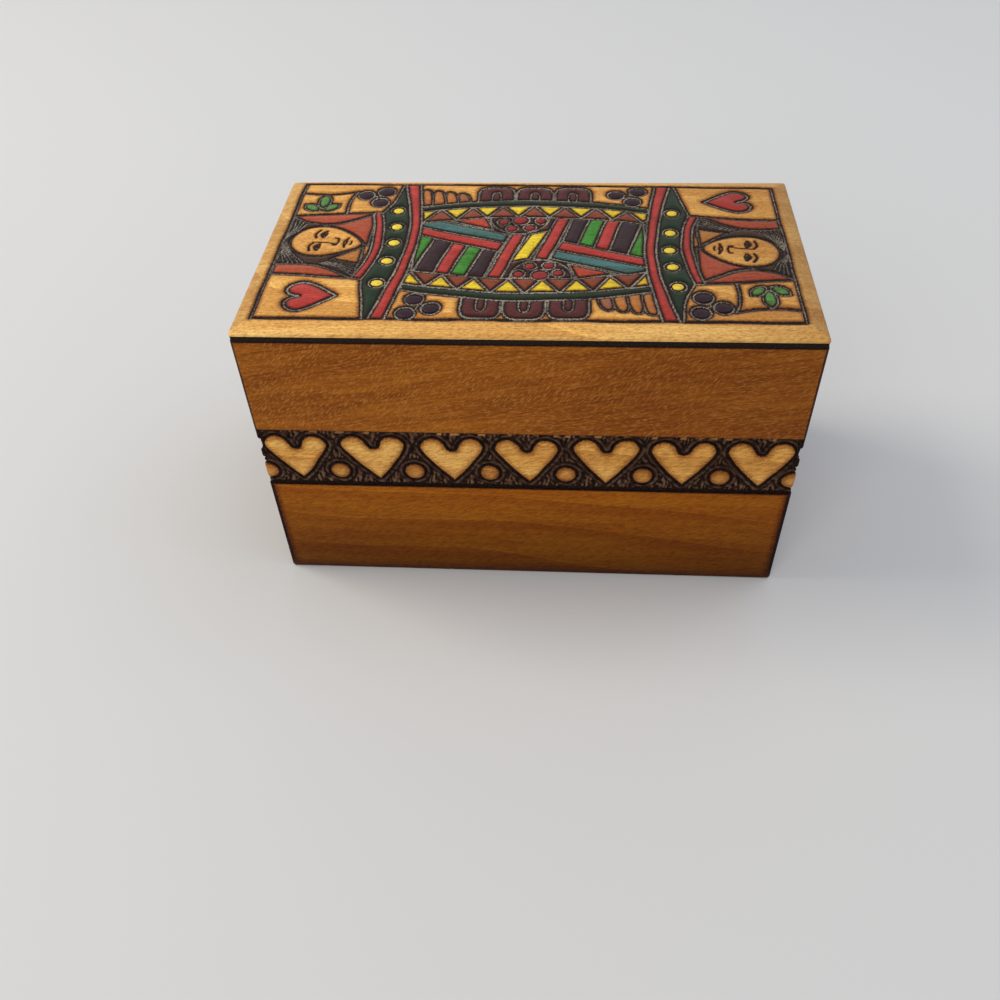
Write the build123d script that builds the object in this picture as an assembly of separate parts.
from build123d import *

import math
import os

# A wooden box for two decks of playing cards, with a deep hinged lid.
# The decks stand on their long edges, one in front of the other, either side of a divider. The base
# and the lid are four mitred walls each. The floor lies in a rebate under the base, and a bevelled
# board closes the lid. A band of hearts and discs is carved round the rim of the base. Two small
# butt hinges are let into the back walls, each with two leaves, a pin and four countersunk screws.
# The origin is the middle of the underside. +X is right, +Y is the hinged back and +Z is up.
# Lengths are in millimetres.

# The case
box_length = 117.0
box_depth = 61.7
wall = 7.0
corner_radius = 0.8  # rounding of the upright corners
foot_radius = 0.5  # rounding of the base's lower edges

# The base
base_height = 44.8
floor_thickness = 4.0
floor_rebate = 3.5  # how far the floor reaches into each wall
divider_thickness = 4.0
divider_housing = 2.0  # how far the divider reaches into each end wall
divider_drop = 3.0  # from the rim down to the divider's top
glue_room = 0.05  # round a piece that sits in a rebate or a housing

# The lid
seam_gap = 0.2  # between the closed lid and the rim
lid_wall_height = 23.05
board_thickness = 2.95
board_line_height = 1.4  # burned line round the foot of the board's edge
board_line_depth = 0.3
bevel_width = 3.5
bevel_drop = 0.75
frame_line_width = 1.0  # burned line round the picture, at the head of the bevel
frame_line_depth = 0.5

# The carved band
band_height = 16.15
ground_depth = 0.7
heart_pitch = 16.7  # wanted spacing, which each face then evens out
heart_width = 13.2
heart_top_margin = 1.5
heart_foot_margin = 2.5
notch_width = 2.0
notch_depth = 3.7
disc_radius = 2.1
disc_rise = 4.6  # from the foot of the band to the middle of a disc

# The hinges
hinge_inset = 25.5  # from an end of the case to the middle of the hinge near it
hinge_length = 16.0
leaf_thickness = 0.7
leaf_reach = 5.0  # from the back face to the leaf's inner edge
knuckle_count = 5
knuckle_radius = 1.3
hinge_gap = 0.15  # between knuckles, and between the barrel and the back of the case
pin_radius = 0.6
pin_clearance = 0.05  # in the lid leaf's knuckles, which turn
pin_seat_clearance = 0.01  # in the base leaf's knuckles, which grip the pin
screw_spacing = 9.0
screw_inset = 2.6  # from the back face
screw_head_radius = 1.2
screw_shank_radius = 0.6
screw_length = 6.0
screw_clearance = 0.03
slot_width = 0.4
slot_depth = 0.25

# Heights and places that follow
rim = base_height
lid_foot = rim + seam_gap
board_seat = lid_foot + lid_wall_height
box_top = board_seat + board_thickness
band_foot = rim - band_height
back_face = box_depth / 2
axis_y = back_face + knuckle_radius + hinge_gap
axis_z = rim + seam_gap / 2
hinge_places = {"left": -box_length / 2 + hinge_inset, "right": box_length / 2 - hinge_inset}
overcut = 1.0  # how far a cutter runs past the surface that it opens


def block(x_span, y_span, z_span):
    """A box between two limits on each axis."""
    spans = (x_span, y_span, z_span)
    middle = [(low + high) / 2 for low, high in spans]
    return Pos(*middle) * Box(*[high - low for low, high in spans])


def centred(length, depth, z_span):
    """A box of that length and depth about the Z axis."""
    return block((-length / 2, length / 2), (-depth / 2, depth / 2), z_span)


def case_ring(low, high):
    """The walls of the case between two heights as one ring, with rounded upright corners."""
    outside = centred(box_length, box_depth, (low, high))
    outside = fillet(outside.edges().filter_by(Axis.Z), corner_radius)
    return outside - centred(box_length - 2 * wall, box_depth - 2 * wall, (low - overcut, high + overcut))


def around():
    """Each face's name, its turn about Z from the front, its length and the depth behind it."""
    return (
        ("front", 0, box_length, box_depth),
        ("right", 90, box_depth, box_length),
        ("back", 180, box_length, box_depth),
        ("left", 270, box_depth, box_length),
    )


def mitred_walls(ring, low, high):
    """Parts a ring along the mitre planes at its corners."""
    reach = wall + overcut
    walls = {}
    for name, turn, length, depth in around():
        half = length / 2
        face = -depth / 2
        outline = Polygon(
            (-half - overcut, face - overcut),
            (half + overcut, face - overcut),
            (half - reach, face + reach),
            (-half + reach, face + reach),
            align=None,
        )
        wedge = Pos(0, 0, low - overcut) * extrude(outline, high - low + 2 * overcut)
        walls[name] = ring & (Rot(0, 0, turn) * wedge)
    return walls


def heart():
    """A heart on its tip, with two round lobes and a gouged round-bottomed notch between them."""
    height = band_height - heart_top_margin - heart_foot_margin
    lobe = heart_width / 4
    centre = Vector(lobe, height - lobe)
    side = math.sqrt(centre.length**2 - lobe**2)
    slope = math.atan2(centre.Y, centre.X) - math.asin(lobe / centre.length)
    touch = Vector(side * math.cos(slope), side * math.sin(slope))
    point = Polygon(
        (0, 0),
        (touch.X, touch.Y),
        (centre.X, centre.Y),
        (-centre.X, centre.Y),
        (-touch.X, touch.Y),
        align=None,
    )
    lobes = Pos(lobe, centre.Y) * Circle(lobe) + Pos(-lobe, centre.Y) * Circle(lobe)
    notch_foot = height - notch_depth + notch_width / 2
    notch = Pos(0, notch_foot) * Circle(notch_width / 2)
    notch += Pos(0, notch_foot + notch_depth / 2) * Rectangle(notch_width, notch_depth)
    return point + lobes - notch


def band_bosses(length):
    """The hearts of one face, with a disc before, between and after them."""
    count = max(1, round(length / heart_pitch))
    pitch = length / count
    one_heart = heart()
    bosses = Sketch()
    for n in range(count):
        bosses += Pos((n + 0.5) * pitch - length / 2, band_foot + heart_foot_margin) * one_heart
    for n in range(count + 1):
        bosses += Pos(n * pitch - length / 2, band_foot + disc_rise) * Circle(disc_radius)
    return bosses


def carved_ground(length, depth):
    """What the carver takes away along the front of a case of that size, round its hearts and discs."""
    ground_y = -depth / 2 + ground_depth
    face = Plane(origin=(0, ground_y, 0), x_dir=(1, 0, 0), z_dir=(0, -1, 0))
    ground = block(
        (-length / 2 - overcut, length / 2 + overcut),
        (-depth / 2 - overcut, ground_y),
        (band_foot, rim + overcut),
    )
    return ground - extrude(face * band_bosses(length), ground_depth + overcut / 2)


def screw_places():
    """Where the screws stand along a leaf."""
    return (-screw_spacing / 2, screw_spacing / 2)


def leaf_mortise():
    """The room for a leaf and its screws, below a rim at height 0."""
    mortise = block(
        (-hinge_length / 2, hinge_length / 2),
        (back_face - leaf_reach, back_face + overcut),
        (-leaf_thickness, overcut),
    )
    pilot_radius = screw_shank_radius + screw_clearance
    pilot_depth = screw_length + screw_clearance
    for x in screw_places():
        mortise += Pos(x, back_face - screw_inset, -pilot_depth / 2) * Cylinder(pilot_radius, pilot_depth)
    return mortise


def screw_cone(clearance):
    """The countersunk cone of a screw's head, or of its seat with a clearance, below height 0."""
    cone = Cone(screw_shank_radius + clearance, screw_head_radius + clearance, leaf_thickness)
    return Pos(0, 0, -leaf_thickness / 2) * cone


def knuckle_spans(first):
    """The limits along X of every other knuckle, from the first (0) or the second (1)."""
    step = (hinge_length + hinge_gap) / knuckle_count
    lows = [-hinge_length / 2 + n * step for n in range(first, knuckle_count, 2)]
    return [(low, low + step - hinge_gap) for low in lows]


def leaf(first, clearance):
    """A leaf below a rim at height 0, with its own knuckles round the pin and room for the other's."""
    height = seam_gap / 2
    body = block(
        (-hinge_length / 2, hinge_length / 2),
        (back_face - leaf_reach, axis_y),
        (-leaf_thickness, 0),
    )
    for low, high in knuckle_spans(1 - first):
        room = (low - hinge_gap, high + hinge_gap)
        body -= block(room, (back_face, axis_y + overcut), (-leaf_thickness - overcut, overcut))
    for low, high in knuckle_spans(first):
        body += Pos((low + high) / 2, axis_y, height) * Rot(0, 90, 0) * Cylinder(knuckle_radius, high - low)
    bore = Cylinder(pin_radius + clearance, hinge_length + 2 * overcut)
    body -= Pos(0, axis_y, height) * Rot(0, 90, 0) * bore
    for x in screw_places():
        body -= Pos(x, back_face - screw_inset, 0) * screw_cone(screw_clearance)
    return body


def leaf_screws():
    """The countersunk wood screws of one leaf, with their slots turned as a hand leaves them."""
    shank_length = screw_length - leaf_thickness
    shank = Pos(0, 0, -leaf_thickness - shank_length / 2) * Cylinder(screw_shank_radius, shank_length)
    screws = []
    for n, x in enumerate(screw_places()):
        slot = Rot(0, 0, 25 + 40 * n) * Box(3 * screw_head_radius, slot_width, 2 * slot_depth)
        screws.append(Pos(x, back_face - screw_inset, 0) * (screw_cone(0) + shank - slot))
    return screws


def on_base(shape, x):
    """Brings a shape made below height 0 to the rim of the base."""
    return Pos(x, 0, rim) * shape


def on_lid(shape, x):
    """Brings the same shape, turned over, to the foot of the lid."""
    return Pos(x, 0, lid_foot) * mirror(shape, Plane.XY)


def base_walls():
    """The walls of the base, rebated for the floor, housed for the divider, mortised and carved."""
    ring = case_ring(0, rim)
    ring = fillet(ring.faces().sort_by(Axis.Z)[0].outer_wire().edges(), foot_radius)
    seat = 2 * (wall - floor_rebate)
    ring -= centred(box_length - seat, box_depth - seat, (-overcut, floor_thickness + glue_room))
    housing_length = box_length - 2 * (wall - divider_housing)
    housing_width = divider_thickness + 2 * glue_room
    ring -= centred(housing_length, housing_width, (floor_thickness, rim - divider_drop))
    for x in hinge_places.values():
        ring -= on_base(leaf_mortise(), x)
    walls = mitred_walls(ring, 0, rim)
    for name, turn, length, depth in around():
        walls[name] -= Rot(0, 0, turn) * carved_ground(length, depth)
    return walls


def lid_walls():
    """The plain walls of the lid, mortised for the hinges."""
    ring = case_ring(lid_foot, board_seat)
    for x in hinge_places.values():
        ring -= on_lid(leaf_mortise(), x)
    return mitred_walls(ring, lid_foot, board_seat)


def base_floor():
    """The floor, in the rebate and flush with the feet of the walls."""
    inset = 2 * (wall - floor_rebate) + 2 * glue_room
    return centred(box_length - inset, box_depth - inset, (0, floor_thickness))


def deck_divider():
    """The upright board between the two decks, standing on the floor."""
    length = box_length - 2 * (wall - divider_housing) - 2 * glue_room
    return centred(length, divider_thickness, (floor_thickness, rim - divider_drop - glue_room))


def lid_top_board():
    """The board over the lid's walls: a burned line at its foot, a bevel and the picture's frame line."""
    outline = centred(box_length, box_depth, (board_seat, box_top))
    top = outline.faces().sort_by(Axis.Z)[-1]
    board = chamfer(top.edges(), bevel_width, bevel_drop, reference=top)
    board &= fillet(outline.edges().filter_by(Axis.Z), corner_radius)
    foot = (board_seat - overcut, board_seat + board_line_height)
    foot_line = centred(box_length + 2 * overcut, box_depth + 2 * overcut, foot)
    board -= foot_line - centred(box_length - 2 * board_line_depth, box_depth - 2 * board_line_depth, foot)
    head = (box_top - frame_line_depth, box_top + overcut)
    inner = bevel_width + frame_line_width
    frame_line = centred(box_length - 2 * bevel_width, box_depth - 2 * bevel_width, head)
    board -= frame_line - centred(box_length - 2 * inner, box_depth - 2 * inner, head)
    return board


def hinge_pin():
    """A hinge's pin, as long as its barrel."""
    return Pos(0, axis_y, axis_z) * Rot(0, 90, 0) * Cylinder(pin_radius, hinge_length)


def build():
    """Every piece by name."""
    pieces = {f"base_{side}_wall": wall_piece for side, wall_piece in base_walls().items()}
    pieces |= {f"lid_{side}_wall": wall_piece for side, wall_piece in lid_walls().items()}
    pieces["base_floor"] = base_floor()
    pieces["deck_divider"] = deck_divider()
    pieces["lid_top_board"] = lid_top_board()
    for side, x in hinge_places.items():
        pieces[f"{side}_hinge_base_leaf"] = on_base(leaf(0, pin_seat_clearance), x)
        pieces[f"{side}_hinge_lid_leaf"] = on_lid(leaf(1, pin_clearance), x)
        pieces[f"{side}_hinge_pin"] = Pos(x, 0, 0) * hinge_pin()
        pieces[f"{side}_hinge_base_screws"] = Compound([on_base(screw, x) for screw in leaf_screws()])
        pieces[f"{side}_hinge_lid_screws"] = Compound([on_lid(screw, x) for screw in leaf_screws()])
    return pieces


os.makedirs("parts", exist_ok=True)
for node, piece in build().items():
    export_step(piece, f"parts/{node}.step")
    print(f"{node}: {len(piece.solids())} solid(s), {sum(s.volume for s in piece.solids()):.1f} mm3")
